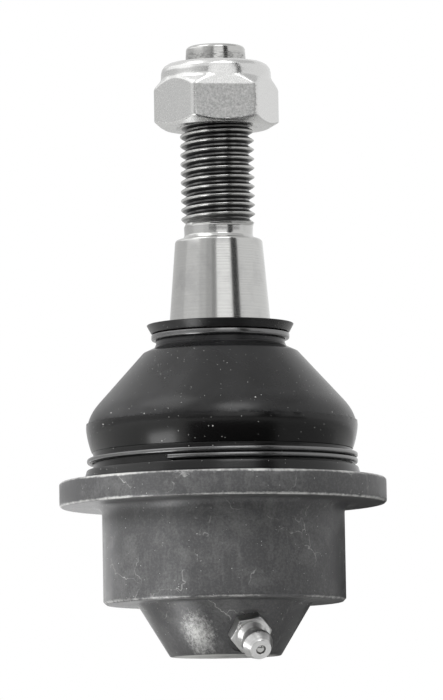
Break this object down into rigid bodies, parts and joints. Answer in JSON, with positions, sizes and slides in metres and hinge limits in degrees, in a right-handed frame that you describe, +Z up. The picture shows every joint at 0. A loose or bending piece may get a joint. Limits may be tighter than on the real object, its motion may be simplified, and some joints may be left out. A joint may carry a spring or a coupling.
{
  "type": "suspension ball joint",
  "caption": "Flanged press-in suspension ball joint: tapered threaded ball stud that swings and spins in a greased housing, with rubber boot, clips, lock nut and grease fitting.",
  "frame": {"origin": "centre of the ball, which lies on the barrel's axis inside the barrel's span", "axes": "+Z up the stud from the ball to the threaded end; -Y is the side that the grease fitting faces, 20 degrees round towards +X"},
  "size_m": [0.0704, 0.0704, 0.1335],
  "materials": {
    "forged_housing": "forged and phosphated, dark grey, satin, rubbed bright at the edges",
    "sintered_bearing": "sintered iron, oil-soaked, matt",
    "spring_steel": "hardened and tempered, smooth",
    "ground_steel": "turned and ground bright steel",
    "boot_rubber": "moulded black rubber, satin",
    "black_clip": "blackened spring wire, glossy",
    "zinc_nut": "bright zinc plate",
    "nylon": "natural nylon",
    "zinc_fitting": "zinc plate, satin"
  },
  "bodies": {
    "housing": {"housing": "forged_housing", "upper_bearing": "sintered_bearing", "preload_spring": "spring_steel", "cover_ring": "spring_steel", "boot": "boot_rubber", "boot_lower_clip": "black_clip", "fitting_body": "zinc_fitting", "fitting_spring": "spring_steel"},
    "lower_seat": {"lower_bearing": "sintered_bearing"},
    "boot_neck": {"boot_upper_clip": "black_clip"},
    "stud": {"ball_stud": "ground_steel"},
    "nut": {"lock_nut": "zinc_nut", "nut_insert": "nylon"},
    "check_ball": {"fitting_ball": "ground_steel"}
  },
  "joints": [
    {"name": "swing_x", "type": "hinge", "parent": "housing", "child": "lower_seat", "pos_m": [0, 0, 0], "axis": [1, 0, 0], "range_deg": [-18, 18], "deforming": ["boot"]},
    {"name": "swing_y", "type": "hinge", "parent": "lower_seat", "child": "boot_neck", "pos_m": [0, 0, 0], "axis": [0, 1, 0], "range_deg": [-18, 18]},
    {"name": "stud_spin", "type": "hinge", "parent": "boot_neck", "child": "stud", "pos_m": [0, 0, 0], "axis": [0, 0, 1], "continuous": true},
    {"name": "nut_run", "type": "slide", "parent": "stud", "child": "nut", "axis": [0, 0, 1], "range_m": [-0.02, 0.02]},
    {"name": "check_ball_press", "type": "slide", "parent": "housing", "child": "check_ball", "axis": [-0.2923, 0.803, 0.5195], "range_m": [0, 0.0008], "stiffness_N_per_m": 400, "springref_m": -0.001, "deforming": ["fitting_spring"]}
  ]
}
